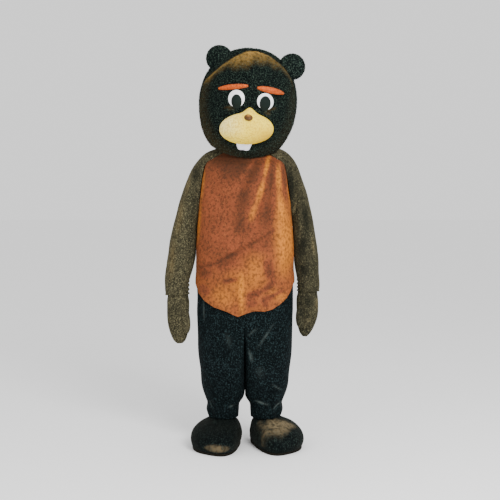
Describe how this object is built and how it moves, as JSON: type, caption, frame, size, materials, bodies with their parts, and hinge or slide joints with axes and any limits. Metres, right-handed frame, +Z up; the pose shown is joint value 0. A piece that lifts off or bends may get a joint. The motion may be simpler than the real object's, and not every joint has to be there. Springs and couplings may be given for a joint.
{
  "type": "mascot costume",
  "caption": "Worn beaver mascot costume: big plush head with ears and muzzle, jumpsuit with a rust front panel, mitts and foot covers, hollow and holding its worn shape.",
  "frame": {"origin": "middle of the suit's neck opening, between the wearer's shoulders, which hold it up", "axes": "+Z up, -Y towards the front, +X towards the viewer's right when seen from the front"},
  "size_m": [0.6904, 0.4729, 1.7783],
  "materials": {
    "dark_plush": "long-pile plush",
    "sleeve_plush": "short-pile plush",
    "rust_velour": "short velour nap",
    "brow_plush": "fuzzy plush",
    "cream_plush": "short velour nap",
    "sole_cloth": "plain dark sole cloth",
    "white_vinyl": "satin",
    "black_vinyl": "gloss",
    "nose_vinyl": "gloss"
  },
  "bodies": {
    "root": {"front_panel": "rust_velour", "back_left": "dark_plush", "back_right": "dark_plush", "leg_back_left": "dark_plush", "leg_back_right": "dark_plush", "leg_front_left": "dark_plush", "leg_front_right": "dark_plush", "back_placket": "dark_plush", "foot_inner_left": "dark_plush", "foot_outer_left": "dark_plush", "foot_inner_right": "dark_plush", "foot_outer_right": "dark_plush", "head_front_left": "dark_plush", "head_front_right": "dark_plush", "head_back_left": "dark_plush", "head_back_right": "dark_plush", "ear_left": "dark_plush", "ear_right": "dark_plush", "sleeve_left": "sleeve_plush", "sleeve_right": "sleeve_plush", "mitt_front_left": "sleeve_plush", "mitt_palm_left": "sleeve_plush", "thumb_left": "sleeve_plush", "mitt_front_right": "sleeve_plush", "mitt_palm_right": "sleeve_plush", "thumb_right": "sleeve_plush", "brow_left": "brow_plush", "brow_right": "brow_plush", "muzzle": "cream_plush", "foot_sole_left": "sole_cloth", "foot_sole_right": "sole_cloth", "eye_left": "white_vinyl", "eye_right": "white_vinyl", "teeth": "white_vinyl", "pupil_left": "black_vinyl", "pupil_right": "black_vinyl", "nose": "nose_vinyl"}
  },
  "joints": []
}
